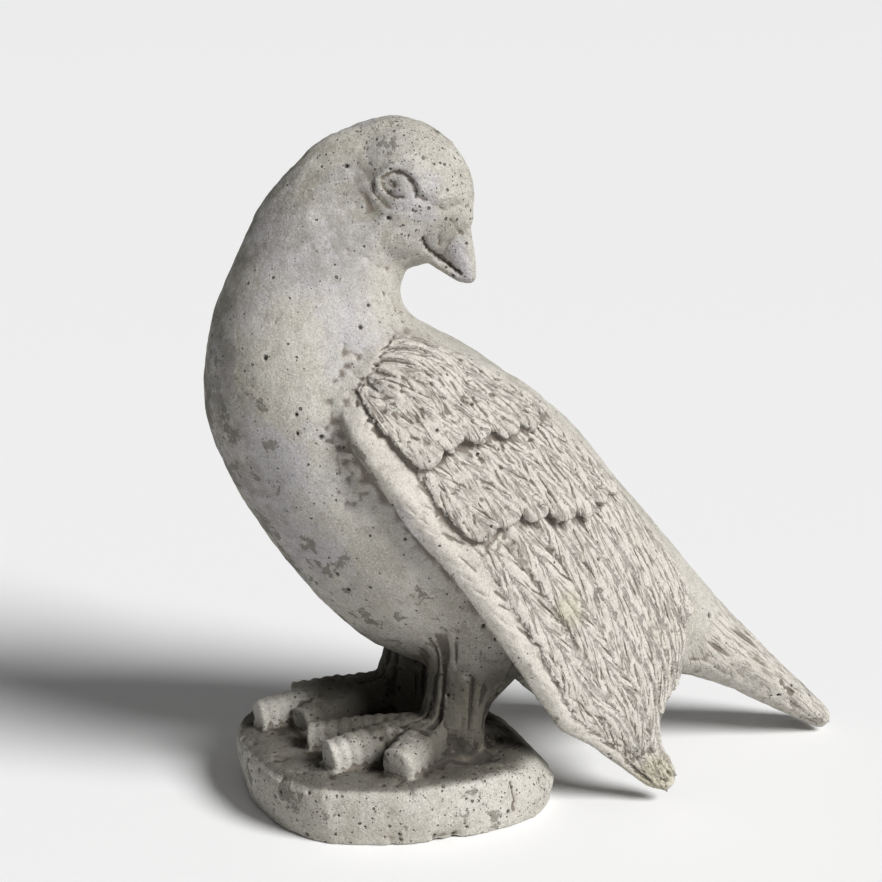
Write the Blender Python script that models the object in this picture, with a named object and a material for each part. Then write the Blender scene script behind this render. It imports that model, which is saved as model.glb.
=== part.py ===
"""A pigeon that looks back over its shoulder, cast in cement in one piece with its low base.

The pieces below are the masses that a modeller would build up: a body that runs from the neck to the
tail, a head with its beak, two folded wings with their rows of feathers, legs, toes and the base.
They are fused into one closed skin, because the real figurine is a single casting.
"""

import math

import bmesh
import bpy
from mathutils import Matrix, Vector

# Driving sizes, in metres.
BIRD_HEIGHT = 0.232
BASE_LENGTH = 0.1155
BASE_WIDTH = 0.115
BASE_THICKNESS = 0.022
BASE_RIM = 0.005
BASE_BATTER = 0.019
BASE_UNDERCUT = 0.003
BASE_TAIL_UNDERCUT = 0.005
STAND_FORWARD = 0.0015
WING_THICKNESS = 0.008
WING_ROLL_RADIUS = 0.0056
FEATHER_RISE = 0.0022
LEG_RADIUS = 0.0124
TOE_RADIUS = 0.0062
TOE_RING_PITCH = 0.0042
TOE_SQUARENESS = 2.8
TOE_DOME = 0.25
TOE_WAVE = 0.09
TOE_ARCH = 0.0015
EYE_RADIUS = 0.0037
EYE_RING_RADIUS = 0.0072
EYE_RING_THICKNESS = 0.003
SKIN_VOXEL = 0.0011
SKIN_TRIANGLES = 9600
MASS_SOFTENING = 60
SKIN_SOFTENING = 3

# Places on the bird are in hundredths of its height. They start on the base's top, near its middle,
# with the breast towards -X, the tail towards +X and the bird's left wing towards -Y.
UNIT = BIRD_HEIGHT / 100


def place(x, y, z):
    """The point of the model that a place in hundredths of the bird's height stands for."""
    return Vector((x * UNIT + STAND_FORWARD, y * UNIT, z * UNIT + BASE_THICKNESS))


def smooth_read(rows, t):
    """The row at t, from 0 at the first row to 1 at the last, on a smooth curve through all of them."""
    span = t * (len(rows) - 1)
    i = min(int(span), len(rows) - 2)
    f = span - i
    picked = [rows[max(0, min(len(rows) - 1, i + k))] for k in (-1, 0, 1, 2)]
    weights = (
        (-f + 2 * f**2 - f**3) / 2,
        (2 - 5 * f**2 + 3 * f**3) / 2,
        (f + 4 * f**2 - 3 * f**3) / 2,
        (-(f**2) + f**3) / 2,
    )
    return [sum(w * row[k] for w, row in zip(weights, picked)) for k in range(len(rows[0]))]


def loft(name, rings):
    """One closed mesh through rings of equally many points, capped at both ends."""
    shape = bmesh.new()
    loops = [[shape.verts.new(point) for point in ring] for ring in rings]
    sides = len(loops[0])
    for first, second in zip(loops, loops[1:]):
        for k in range(sides):
            shape.faces.new((first[k], first[(k + 1) % sides], second[(k + 1) % sides], second[k]))
    shape.faces.new(loops[0])
    shape.faces.new(loops[-1])
    bmesh.ops.recalc_face_normals(shape, faces=shape.faces)
    mesh = bpy.data.meshes.new(name)
    shape.to_mesh(mesh)
    shape.free()
    piece = bpy.data.objects.new(name, mesh)
    bpy.context.scene.collection.objects.link(piece)
    return piece


def ring_of(centre, across, up, sides, power=2.0):
    """A ring of points round centre. A power over 2 makes the ellipse squarer."""
    points = []
    for k in range(sides):
        c = math.cos(2 * math.pi * k / sides)
        s = math.sin(2 * math.pi * k / sides)
        points.append(
            centre
            + across * math.copysign(abs(c) ** (2 / power), c)
            + up * math.copysign(abs(s) ** (2 / power), s)
        )
    return points


def ball(name, centre, forward, side, up):
    """An ellipsoid with the three half-axes given."""
    rings = []
    steps = 16
    for k in range(steps + 1):
        angle = math.pi * (k + 0.02) / (steps + 0.04)
        rings.append(
            ring_of(centre - forward * math.cos(angle), side * math.sin(angle), up * math.sin(angle), 24)
        )
    return loft(name, rings)


def tube(name, stations, sides=14, tall=1.0, power=2.0, dome=1.0):
    """A bar through (point, radius) stations, closed by a dome at each end; a low dome is blunt."""
    dense = []
    steps = 6 * (len(stations) - 1)
    rows = [(*point, radius) for point, radius in stations]
    for k in range(steps + 1):
        x, y, z, radius = smooth_read(rows, k / steps)
        dense.append((Vector((x, y, z)), radius))
    rings = []
    for k, (point, radius) in enumerate(dense):
        along = (dense[min(k + 1, steps)][0] - dense[max(k - 1, 0)][0]).normalized()
        across = along.cross(Vector((0, 0, 1)))
        across = across.normalized() if across.length > 0.05 else Vector((0, 1, 0))
        up = across.cross(along).normalized()
        ends = ((0.9, 0.45), (0.5, 0.87)) if k == 0 else ()
        for reach, share in ends:
            end = point - along * radius * reach * dome
            rings.append(ring_of(end, across * radius * share, up * radius * share * tall, sides, power))
        rings.append(ring_of(point, across * radius, up * radius * tall, sides, power))
        ends = ((0.5, 0.87), (0.9, 0.45)) if k == steps else ()
        for reach, share in ends:
            end = point + along * radius * reach * dome
            rings.append(ring_of(end, across * radius * share, up * radius * share * tall, sides, power))
    return loft(name, rings)


# The base: a slab with soft rims, whose plan was cut by hand into short flat sides. Each corner is a
# share of half the length and of half the width.
BASE_CORNERS = (
    (-0.91, 0.48),
    (-0.98, 0.04),
    (-0.91, -0.48),
    (-0.72, -0.80),
    (-0.20, -1.00),
    (0.35, -0.98),
    (0.72, -0.86),
    (0.96, -0.58),
    (1.00, 0.15),
    (0.72, 0.78),
    (0.30, 0.98),
    (-0.35, 0.98),
    (-0.68, 0.80),
)
BASE_SIDE_POINTS = 8
BASE_CORNER_ROUNDS = 5


def base_plan():
    """The plan of the base, with half its length and half its width both 1."""
    plan = []
    for first, second in zip(BASE_CORNERS, BASE_CORNERS[1:] + BASE_CORNERS[:1]):
        for k in range(BASE_SIDE_POINTS):
            plan.append(Vector(first).lerp(Vector(second), k / BASE_SIDE_POINTS))
    for _ in range(BASE_CORNER_ROUNDS):
        plan = [(plan[k - 1] + plan[k] * 2 + plan[(k + 1) % len(plan)]) / 4 for k in range(len(plan))]
    low = [min(point[k] for point in plan) for k in (0, 1)]
    high = [max(point[k] for point in plan) for k in (0, 1)]
    return [tuple(2 * (point[k] - low[k]) / (high[k] - low[k]) - 1 for k in (0, 1)) for point in plan]


def make_base():
    """The slab. Its tail end leans in above and a little below, its breast end only below."""
    plan = base_plan()
    spare = 2 * BASE_RIM
    profile = [(-spare, 0.0), (0.0, 0.2 * BASE_RIM)]
    profile += [(0.4 * BASE_THICKNESS, 0.0), (BASE_THICKNESS - BASE_RIM, 0.0)]
    for k in range(1, 5):
        angle = math.pi / 2 * k / 4
        profile.append(
            (BASE_THICKNESS - BASE_RIM * (1 - math.sin(angle)), BASE_RIM * (1 - math.cos(angle)))
        )
    rings = []
    for height, inset in profile:
        share = height / BASE_THICKNESS
        breast_end = -BASE_LENGTH / 2 + inset + BASE_UNDERCUT * max(0.0, 0.8 - share)
        leaning = BASE_BATTER * max(0.0, share - 0.35) + BASE_TAIL_UNDERCUT * max(0.0, 0.35 - share)
        tail_end = BASE_LENGTH / 2 - inset - leaning
        side = BASE_WIDTH / 2 - inset
        middle = (breast_end + tail_end) / 2
        half = (tail_end - breast_end) / 2
        rings.append([Vector((middle + x * half, y * side, height)) for x, y in plan])
    return loft("base", rings)


# The body, from inside the head down the neck, the breast and the belly to the tip of the tail.
# Each row is a section: x and z of its middle, its half depth, its half width, and how far the
# direction from the breast to the back leans up from +X, in degrees.
BODY_SECTIONS = (
    (4.1, 89.9, 11.3, 6.4, -65),
    (-2.6, 88.8, 11.8, 7.2, -48),
    (-6.8, 85.3, 12.0, 8.4, -38),
    (-9.6, 81.6, 12.6, 9.7, -28),
    (-12.2, 75.9, 13.2, 11.4, -12.5),
    (-12.9, 70.3, 15.5, 13.2, -3),
    (-10.9, 64.1, 19.5, 16.0, 5.5),
    (-7.7, 57.7, 22.6, 18.4, 12),
    (-2.5, 50.5, 24.4, 20.0, 16.5),
    (3.7, 42.8, 25.3, 20.8, 21.5),
    (10.8, 34.3, 25.4, 20.5, 25.3),
    (19.5, 25.7, 24.2, 18.6, 27.3),
    (31.2, 19.0, 19.3, 14.6, 33),
    (42.6, 14.6, 13.2, 10.6, 38.8),
    (56.6, 8.7, 6.7, 7.5, 50),
    (69.4, -0.3, 3.9, 6.4, 52),
    (79.6, -8.0, 2.3, 4.8, 52),
)


def make_body():
    """The body, neck and tail as one loft of elliptical sections."""
    rings = []
    steps = 5 * (len(BODY_SECTIONS) - 1)
    for k in range(steps + 1):
        x, z, depth, width, lean = smooth_read(BODY_SECTIONS, k / steps)
        lean = math.radians(lean)
        to_back = Vector((math.cos(lean), 0, math.sin(lean)))
        rings.append(ring_of(place(x, 0, z), to_back * depth * UNIT, Vector((0, width * UNIT, 0)), 40))
    return loft("body", rings)


# The head, turned back over the left shoulder with the beak down. Places on it are in hundredths of
# the bird's height: how far ahead of the neck's line it is, how high, and how far to its own left.
HEAD_TURN = -20.0
HEAD_NOD = 42.0
HEAD_CENTRE = (1.9, 89.7)
HEAD_HALF = (11.6, 9.8, 10.1)
NAPE_CENTRE = (-5.0, 85.8)
NAPE_HALF = (9.4, 10.4, 9.4)
JAW_CENTRE = (3.4, 82.1)
JAW_HALF = (5.8, 6.4, 5.3)
CHEEK_CENTRE = (-0.4, 84.4, 5.2)
CHEEK_HALF = (6.2, 4.9, 6.2)
EYE_CENTRE = (1.25, 90.3, 9.4)
BEAK_ROOT = (9.0, 82.4)
BEAK_TIP = (12.5, 74.0)
BEAK_ROOT_HALF = (3.3, 3.0)
BEAK_TIP_HALF = (1.0, 1.0)
CHIN_ROOT = (5.6, 79.2)
CHIN_TIP = (11.5, 74.1)
CHIN_ROOT_HALF = (1.6, 2.6)
CHIN_TIP_HALF = (0.6, 0.8)
CERE_CENTRE = (11.5, 84.9, 1.2)
CERE_HALF = (1.2, 1.5, 1.9)
AHEAD = Matrix.Rotation(math.radians(HEAD_TURN), 3, "Z") @ Vector((1, 0, 0))
ASIDE = Vector((-AHEAD.y, AHEAD.x, 0))
UPRIGHT = Vector((0, 0, 1))


def head_place(ahead, height, aside=0.0):
    """The point of the model at a place on the head."""
    return place(0, 0, height) + AHEAD * ahead * UNIT + ASIDE * aside * UNIT


def half_beak(name, root, tip, root_half, tip_half):
    """One half of the beak: a bar that thins from its root to its tip, with a rounded section."""
    begin = head_place(*root)
    end = head_place(*tip)
    along = (end - begin).normalized()
    over = along.cross(ASIDE).normalized()
    rings = []
    steps = 9
    for k in range(steps + 1):
        s = k / steps
        thick, wide = (b + (a - b) * (1 - s) ** 0.85 for a, b in zip(root_half, tip_half))
        end_round = 1.0 if k < steps else 0.55
        centre = begin.lerp(end, s)
        rings.append(ring_of(centre, ASIDE * wide * UNIT * end_round, over * thick * UNIT * end_round, 16))
    return loft(name, rings)


def head_ball(name, centre, half, hand):
    """An ellipsoid on the head, on its left for hand 1 and on its right for hand -1."""
    ahead, height, aside = (*centre, 0.0)[:3]
    long_half, wide_half, high_half = (share * UNIT for share in half)
    middle = head_place(ahead, height, aside * hand)
    return ball(name, middle, AHEAD * long_half, ASIDE * wide_half, UPRIGHT * high_half)


def make_skull():
    """The soft masses of the head: skull, nape, jaw and cheeks."""
    nod = Matrix.Rotation(math.radians(HEAD_NOD), 3, ASIDE)
    pieces = []
    for name, centre, half in (("skull", HEAD_CENTRE, HEAD_HALF), ("nape", NAPE_CENTRE, NAPE_HALF)):
        long_half, wide_half, high_half = (share * UNIT for share in half)
        forward = nod @ AHEAD * long_half
        up = nod @ UPRIGHT * high_half
        pieces.append(ball(name, head_place(*centre), forward, ASIDE * wide_half, up))
    pieces.append(head_ball("jaw", JAW_CENTRE, JAW_HALF, 1))
    for hand in (-1, 1):
        pieces.append(head_ball("cheek", CHEEK_CENTRE, CHEEK_HALF, hand))
    return pieces


def make_face():
    """The crisp details of the head: both halves of the beak, the cere, the eyes and their rings."""
    pieces = [half_beak("upper_beak", BEAK_ROOT, BEAK_TIP, BEAK_ROOT_HALF, BEAK_TIP_HALF)]
    pieces.append(half_beak("lower_beak", CHIN_ROOT, CHIN_TIP, CHIN_ROOT_HALF, CHIN_TIP_HALF))
    for hand in (-1, 1):
        pieces.append(head_ball("cere", CERE_CENTRE, CERE_HALF, hand))
        ahead, height, aside = EYE_CENTRE
        eye = head_place(ahead, height, aside * hand)
        out = ASIDE * hand
        pieces.append(ball("eye", eye, AHEAD * EYE_RADIUS, out * EYE_RADIUS * 0.8, UPRIGHT * EYE_RADIUS))
        rim = []
        for k in range(13):
            angle = 2 * math.pi * k / 12
            around = AHEAD * math.cos(angle) + UPRIGHT * math.sin(angle)
            rim.append((eye + around * EYE_RING_RADIUS, EYE_RING_THICKNESS / 2))
        pieces.append(tube("eye_ring", rim, 8))
    return pieces


# The wing is a curved sheet between two rails that run from the shoulder to the tip: the leading edge,
# low on the side, and the trailing edge, high beside the back.
WING_LEAD = (
    (-13.8, -16.0, 60.6),
    (-13.8, -19.6, 54.4),
    (-10.3, -21.6, 48.3),
    (-5.2, -22.4, 40.1),
    (1.3, -22.6, 31.9),
    (8.0, -22.6, 22.2),
    (15.2, -22.4, 11.9),
    (19.6, -22.2, 5.2),
    (25.6, -22.0, 1.2),
    (31.6, -21.8, -3.2),
    (37.2, -21.4, -7.6),
)
WING_TRAIL = (
    (-6.4, -12.2, 66.0),
    (1.6, -8.0, 66.6),
    (9.5, -6.5, 62.9),
    (19.4, -6.0, 57.3),
    (27.2, -6.0, 50.4),
    (34.1, -6.5, 41.8),
    (40.5, -7.8, 32.8),
    (45.3, -9.5, 25.0),
    (46.8, -12.4, 17.6),
    (41.8, -17.8, 3.2),
    (44.0, -20.4, -5.6),
)
WING_BULGE = ((1.0,), (3.6,), (5.0,), (5.4,), (5.4,), (5.0,), (4.2,), (3.2,), (2.2,), (1.4,), (0.8,))
CORE_END = 0.86

# The wing's root is sunk in the shoulder, and comes up out of it over this share of its length.
WING_SINK = 0.009
WING_SINK_END = 0.11

# The blunt lobe that ends the longest feathers: where its middle is on the sheet, and its half sizes.
WING_TIP_U = 0.945
WING_TIP_V = 0.36
WING_TIP_HALF = (0.0095, 0.0068, 0.0036)

# The smooth band along the leading edge is made of rolls: how far across each lies, and how deep.
WING_ROLLS = ((0.07, 0.5), (0.14, 0.55), (0.21, 0.65))
TIP_STAGGER = 0.012
FEATHER_ROOT_DIP = 2.2
SHOULDER_CENTRE = (-3.6, -11.4, 57.6)
SHOULDER_HALF = (12.0, 10.3, 10.8)

# Rows of feathers: name, how many, the middle of the first and the last as shares of the way across
# the wing, where along it their roots start, where the first tip and the last tip end, their half
# width across the wing, and how many feather thicknesses they lie above the core.
FEATHER_ROWS = (
    ("primary", 3, 0.20, 0.50, 0.40, 0.990, 0.975, 0.105, 0.5),
    ("secondary", 3, 0.61, 0.83, 0.36, 0.868, 0.866, 0.100, 0.7),
    ("tertial", 2, 0.90, 0.97, 0.34, 0.785, 0.800, 0.075, 0.9),
    ("greater_covert", 7, 0.23, 0.93, 0.20, 0.385, 0.525, 0.080, 1.5),
    ("lesser_covert", 6, 0.26, 0.90, 0.04, 0.245, 0.345, 0.085, 2.1),
)


def wing_rails(u):
    """The points of both edges of the left wing at the share u of its length."""
    return [place(*smooth_read(rows, u)) for rows in (WING_LEAD, WING_TRAIL)]


def wing_frame(u, v, hand):
    """Point, outward normal and direction across the left wing's sheet, mirrored for hand 1."""
    lead, trail = wing_rails(u)
    bulge = smooth_read(WING_BULGE, u)[0] * UNIT
    ahead = sum(wing_rails(min(1.0, u + 0.01)), Vector())
    behind = sum(wing_rails(max(0.0, u - 0.01)), Vector())
    along = (ahead - behind).normalized()
    across = trail - lead
    flat_normal = across.cross(along).normalized()
    if flat_normal.y > 0:
        flat_normal = -flat_normal
    point = lead + across * v + flat_normal * bulge * 4 * v * (1 - v)
    slope = across + flat_normal * bulge * 4 * (1 - 2 * v)
    normal = slope.cross(along).normalized()
    if normal.dot(flat_normal) < 0:
        normal = -normal
    slope = slope.normalized()
    point = point - normal * WING_SINK * max(0.0, 1 - u / WING_SINK_END) ** 2
    if hand > 0:
        return [Vector((w.x, -w.y, w.z)) for w in (point, normal, slope)]
    return point, normal, slope


def make_shoulder(hand):
    """The soft mass under the root of one wing."""
    ahead, aside, height = SHOULDER_CENTRE
    along_half, across_half, up_half = (share * UNIT for share in SHOULDER_HALF)
    centre = place(ahead, -hand * aside, height)
    forward = Vector((along_half, 0, 0))
    side = Vector((0, across_half, 0))
    return ball("shoulder", centre, forward, side, UPRIGHT * up_half)


def make_wing(hand):
    """The core of one folded wing, its rolled leading edge and its rows of feathers."""
    rings = []
    steps = 24
    sides = 12
    for k in range(steps + 1):
        u = CORE_END * k / steps
        fade = min(1.0, (CORE_END - u) / 0.25) * 0.55 + 0.45
        top = []
        bottom = []
        for j in range(sides + 1):
            v = j / sides
            point, normal, _ = wing_frame(u, v, hand)
            thick = WING_THICKNESS * fade * (1 - abs(2 * v - 1) ** 4) ** 0.5
            top.append(point)
            bottom.append(point - normal * max(thick, 0.0004))
        rings.append(top + bottom[::-1])
    pieces = [loft("wing_core", rings)]
    for v, sunk in WING_ROLLS:
        roll = []
        for k in range(17):
            u = 0.04 + 0.92 * k / 16
            point, normal, _ = wing_frame(u, v, hand)
            radius = WING_ROLL_RADIUS * (1.15 - 0.65 * k / 16) * min(1.0, 0.6 + 0.13 * k)
            roll.append((point - normal * radius * sunk, radius))
        pieces.append(tube("wing_roll", roll, 12))
    point, normal, slope = wing_frame(WING_TIP_U, WING_TIP_V, hand)
    along = slope.cross(normal)
    long_half, wide_half, thick_half = WING_TIP_HALF
    pieces.append(ball("wing_tip", point, along * long_half, slope * wide_half, normal * thick_half))
    for name, count, first_v, last_v, root_u, first_tip, last_tip, half, lift in FEATHER_ROWS:
        for k in range(count):
            share = k / (count - 1)
            v = first_v + (last_v - first_v) * share
            tip_u = first_tip + (last_tip - first_tip) * share + TIP_STAGGER * math.sin(5 * k)
            pieces.append(make_feather(name, v, root_u, tip_u, half, lift, hand))
    return pieces


def make_feather(name, v, root_u, tip_u, half, lift, hand):
    """A long leaf that lies on the wing's sheet, crowned across, with a round tip."""
    rings = []
    steps = 14
    sides = 8
    for k in range(steps + 1):
        s = k / steps
        u = root_u + (tip_u - root_u) * (1 - (1 - s) ** 1.3)
        wide = half * min(1.0, 0.45 + 1.4 * s) * max(0.0, 1 - s**7) ** 0.5 + 0.004
        rise = FEATHER_RISE * (lift * (0.25 + 0.75 * s) - FEATHER_ROOT_DIP * max(0.0, 1 - 3 * s))
        top = []
        bottom = []
        for j in range(sides + 1):
            a = 2 * j / sides - 1
            crown = FEATHER_RISE * 0.7 * (1 - a * a)
            point, normal, _ = wing_frame(u, v + a * wide, hand)
            top.append(point + normal * (rise + crown))
            bottom.append(point + normal * (rise - FEATHER_RISE * 2.2 * (1 - s) - FEATHER_RISE * 1.2))
        rings.append(top + bottom[::-1])
    return loft(name, rings)


# Legs and feet. Each station of a leg is how far behind its foot and how high the middle lies, how far
# out as a share of the feet's spread, and how many times as thick as the shank it is.
LEG_X = 6.8
LEG_Y = 10.9
LEG_STATIONS = (
    (6.0, 24.0, 0.75, 2.30),
    (3.4, 15.5, 0.90, 1.60),
    (0.4, 9.0, 1.00, 1.04),
    (-0.8, 4.0, 1.00, 1.02),
    (-1.0, 0.5, 1.00, 1.10),
)
TOE_ROOT_HEIGHT = 2.7
TOE_TIP_HEIGHT = 1.7
HIND_TIP_HEIGHT = -0.8

# Toes: name, how far the tip is ahead of the leg, how far outwards, and how thick it is. The right
# foot stands further forward than the left and keeps its outer toe closer.
RIGHT_ADVANCE = 4.0
LEFT_TOES = (
    ("inner", 21.0, -8.4, 0.85),
    ("middle", 20.8, 1.6, 1.05),
    ("outer", 12.0, 8.8, 1.10),
    ("hind", -8.5, -3.0, 0.80),
)
RIGHT_TOES = (
    ("inner", 16.4, -6.6, 0.85),
    ("middle", 22.2, -1.8, 0.95),
    ("outer", 14.0, 5.5, 0.85),
    ("hind", -8.5, -4.0, 0.80),
)


def make_leg(hand):
    """One thick leg, from inside the belly down to the base. Hand -1 is the bird's left."""
    stations = []
    for behind, height, spread, thickness in LEG_STATIONS:
        point = place(LEG_X + behind, hand * LEG_Y * spread, height)
        stations.append((point, LEG_RADIUS * thickness))
    return tube("leg", stations, sides=20)


def make_toes(hand, advance, toes):
    """The toes of one foot, each marked with rings."""
    y = hand * LEG_Y
    pieces = []
    for name, reach, spread, size in toes:
        forward, end_height = (advance, TOE_TIP_HEIGHT) if reach > 0 else (0.0, HIND_TIP_HEIGHT)
        start = place(LEG_X - 1.5, y, TOE_ROOT_HEIGHT)
        end = place(LEG_X - 1.0 - reach - forward, y + hand * spread, end_height)
        quarters = 4 * int((end - start).length / TOE_RING_PITCH)
        stations = []
        for k in range(quarters + 1):
            s = k / quarters
            wave = TOE_WAVE * math.cos(math.pi / 2 * k) if s > 0.3 else 0.0
            radius = TOE_RADIUS * size * (1.15 - 0.2 * s + wave)
            arch = Vector((0, 0, TOE_ARCH * math.sin(math.pi * s)))
            stations.append((start.lerp(end, s) + arch, radius))
        pieces.append(tube(name + "_toe", stations, 12, 1.1, TOE_SQUARENESS, TOE_DOME))
    return pieces


# The casting: every mass fused into one skin, thinned to a few thousand triangles and cut flat below.
def fuse(name, pieces, softening):
    """Joins the pieces into one object with one closed skin, and relaxes its creases."""
    shape = bmesh.new()
    for piece in pieces:
        shape.from_mesh(piece.data)
        bpy.data.objects.remove(piece)
    mesh = bpy.data.meshes.new(name)
    shape.to_mesh(mesh)
    shape.free()
    whole = bpy.data.objects.new(name, mesh)
    bpy.context.scene.collection.objects.link(whole)
    skin = whole.modifiers.new("skin", "REMESH")
    skin.mode = "VOXEL"
    skin.voxel_size = SKIN_VOXEL
    soften = whole.modifiers.new("soften", "SMOOTH")
    soften.factor = 0.5
    soften.iterations = softening
    whole.data = evaluated_mesh(whole)
    whole.modifiers.clear()
    return whole


def thin_out(casting):
    """Thins the skin, most where it is flat."""
    thin = casting.modifiers.new("thin", "DECIMATE")
    thin.ratio = SKIN_TRIANGLES / triangle_count(casting.data)


def evaluated_mesh(piece):
    """The piece's mesh with its modifiers applied."""
    graph = bpy.context.evaluated_depsgraph_get()
    return bpy.data.meshes.new_from_object(piece.evaluated_get(graph))


def triangle_count(mesh):
    """How many triangles the mesh's faces make."""
    return sum(len(face.vertices) - 2 for face in mesh.polygons)


def cut_flat(casting):
    """Takes off what lies below the ground, so that the underside is one flat face."""
    side = 4 * (BASE_LENGTH + BASE_WIDTH)
    bpy.ops.mesh.primitive_cube_add(size=side, location=(0, 0, -side / 2))
    ground = bpy.context.object
    ground.name = "ground_cutter"
    ground.hide_render = True
    ground.display_type = "WIRE"
    cut = casting.modifiers.new("flat_underside", "BOOLEAN")
    cut.operation = "DIFFERENCE"
    cut.object = ground


def cement():
    """Pale grey cement."""
    material = bpy.data.materials.new("cement")
    material.use_nodes = True
    shader = material.node_tree.nodes["Principled BSDF"]
    shader.inputs["Base Color"].default_value = (0.50, 0.48, 0.44, 1)
    shader.inputs["Roughness"].default_value = 0.9
    return material


for leftover in list(bpy.data.objects):
    bpy.data.objects.remove(leftover)

masses = [make_body()] + make_skull()
for which in (-1, 1):
    masses += [make_shoulder(which), make_leg(which)]
details = [fuse("masses", masses, MASS_SOFTENING), make_base()]
details += make_face()
for which in (-1, 1):
    details += make_wing(which)
details += make_toes(-1, 0.0, LEFT_TOES)
details += make_toes(1, RIGHT_ADVANCE, RIGHT_TOES)
figurine = fuse("pigeon_figurine", details, SKIN_SOFTENING)
thin_out(figurine)
cut_flat(figurine)
figurine.data.materials.append(cement())
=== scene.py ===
import math

import bmesh
import bpy
import numpy as np
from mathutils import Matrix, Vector
from mathutils.kdtree import KDTree


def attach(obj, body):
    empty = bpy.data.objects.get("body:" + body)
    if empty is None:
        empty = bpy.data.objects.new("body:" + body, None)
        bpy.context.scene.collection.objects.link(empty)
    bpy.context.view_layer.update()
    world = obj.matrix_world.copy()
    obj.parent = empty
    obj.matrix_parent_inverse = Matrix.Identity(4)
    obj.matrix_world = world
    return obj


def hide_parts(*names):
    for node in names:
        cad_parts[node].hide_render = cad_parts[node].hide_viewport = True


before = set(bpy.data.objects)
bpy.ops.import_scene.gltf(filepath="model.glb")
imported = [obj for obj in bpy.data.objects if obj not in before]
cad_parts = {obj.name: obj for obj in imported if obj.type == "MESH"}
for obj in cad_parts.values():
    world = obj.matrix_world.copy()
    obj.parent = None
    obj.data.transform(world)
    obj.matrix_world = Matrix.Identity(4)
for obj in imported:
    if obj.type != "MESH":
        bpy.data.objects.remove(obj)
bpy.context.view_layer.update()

# The casting. The real figurine is one solid pour of cement out of a worn mould: a pigeon that looks
# back over its shoulder, on a low rounded base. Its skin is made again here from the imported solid, fine
# enough to be carved, with the solid's flat facets rounded off and its underside left flat.
BIRD_HEIGHT = 0.232
BASE_THICKNESS = 0.022
BASE_HALF = 0.0577
STAND_FORWARD = 0.0015
UNIT = BIRD_HEIGHT / 100
SKIN_VOXEL = 0.0006
SKIN_RELAXING = 3
TABLE_SIZE = 32
SOFT_FOLD = math.radians(18)
SHARP_FOLD = math.radians(60)
MOST_CREASE = 0.75
UNDERSIDE = 1e-5
MM = 0.001


def place(x, y, z):
    """The point that a place in hundredths of the bird's height, counted from the base's top, stands for."""
    return np.array((x * UNIT + STAND_FORWARD, y * UNIT, z * UNIT + BASE_THICKNESS))


def plain_mesh(piece):
    """The piece's mesh with its modifiers applied."""
    graph = bpy.context.evaluated_depsgraph_get()
    return bpy.data.meshes.new_from_object(piece.evaluated_get(graph))


def apply_modifiers(piece):
    """Turns the piece's modifiers into plain mesh and removes them."""
    piece.data = plain_mesh(piece)
    piece.modifiers.clear()


def skin_of(node, name):
    """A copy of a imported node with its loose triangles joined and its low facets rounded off."""
    shape = bmesh.new()
    shape.from_mesh(node.data)
    bmesh.ops.remove_doubles(shape, verts=shape.verts, dist=1e-6)
    crease = shape.edges.layers.float.new("crease_edge")
    for edge in shape.edges:
        if all(vert.co.z < UNDERSIDE for vert in edge.verts):
            edge[crease] = 1.0
            continue
        fold = edge.calc_face_angle(0.0)
        edge[crease] = MOST_CREASE * min(1.0, max(0.0, (fold - SOFT_FOLD) / (SHARP_FOLD - SOFT_FOLD)))
    mesh = bpy.data.meshes.new(name)
    shape.to_mesh(mesh)
    shape.free()
    piece = bpy.data.objects.new(name, mesh)
    bpy.context.scene.collection.objects.link(piece)
    rounding = piece.modifiers.new("rounding", "SUBSURF")
    rounding.levels = 2
    rounding.render_levels = 2
    skin = piece.modifiers.new("skin", "REMESH")
    skin.mode = "VOXEL"
    skin.voxel_size = SKIN_VOXEL
    apply_modifiers(piece)
    return piece


def points_of(mesh):
    """The mesh's points as an array of rows."""
    flat = np.empty(3 * len(mesh.vertices), np.float32)
    mesh.vertices.foreach_get("co", flat)
    return flat.reshape(-1, 3).astype(float)


def normals_of(mesh):
    """The outward direction at each of the mesh's points."""
    flat = np.empty(3 * len(mesh.vertices), np.float32)
    mesh.vertex_normals.foreach_get("vector", flat)
    return flat.reshape(-1, 3).astype(float)


def move_points(mesh, points):
    """Puts the mesh's points in new places."""
    mesh.vertices.foreach_set("co", points.astype(np.float32).ravel())
    mesh.update()


def ramp(value, low, high):
    """0 below low, 1 above high and smooth between. It falls instead where low is the larger."""
    share = np.clip((value - low) / (high - low), 0, 1)
    return share * share * (3 - 2 * share)


def relaxed(mesh, points, rounds):
    """The points after each has moved halfway to the middle of its neighbours, a number of times."""
    ends = np.empty(2 * len(mesh.edges), np.int32)
    mesh.edges.foreach_get("vertices", ends)
    first = np.concatenate([ends[0::2], ends[1::2]])
    second = np.concatenate([ends[1::2], ends[0::2]])
    count = np.maximum(np.bincount(first, minlength=len(points)), 1)
    for _ in range(rounds):
        middle = np.stack([np.bincount(first, points[second, k], len(points)) for k in range(3)], 1)
        points = 0.5 * points + 0.5 * middle / count[:, None]
    return points


def lumps(points, per_metre, seed):
    """Smooth random numbers around 0, between -1 and 1, with so many lumps to the metre in each direction."""
    table = np.random.default_rng(seed).uniform(-1, 1, (TABLE_SIZE, TABLE_SIZE, TABLE_SIZE))
    where = points * np.array(per_metre) + 500.5
    low = np.floor(where).astype(int)
    f = where - low
    f = f * f * (3 - 2 * f)
    total = np.zeros(len(points))
    for corner in ((i, j, k) for i in (0, 1) for j in (0, 1) for k in (0, 1)):
        share = np.prod([f[:, a] if corner[a] else 1 - f[:, a] for a in range(3)], axis=0)
        at = np.mod(low + np.array(corner), TABLE_SIZE)
        total += share * table[at[:, 0], at[:, 1], at[:, 2]]
    return total


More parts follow.
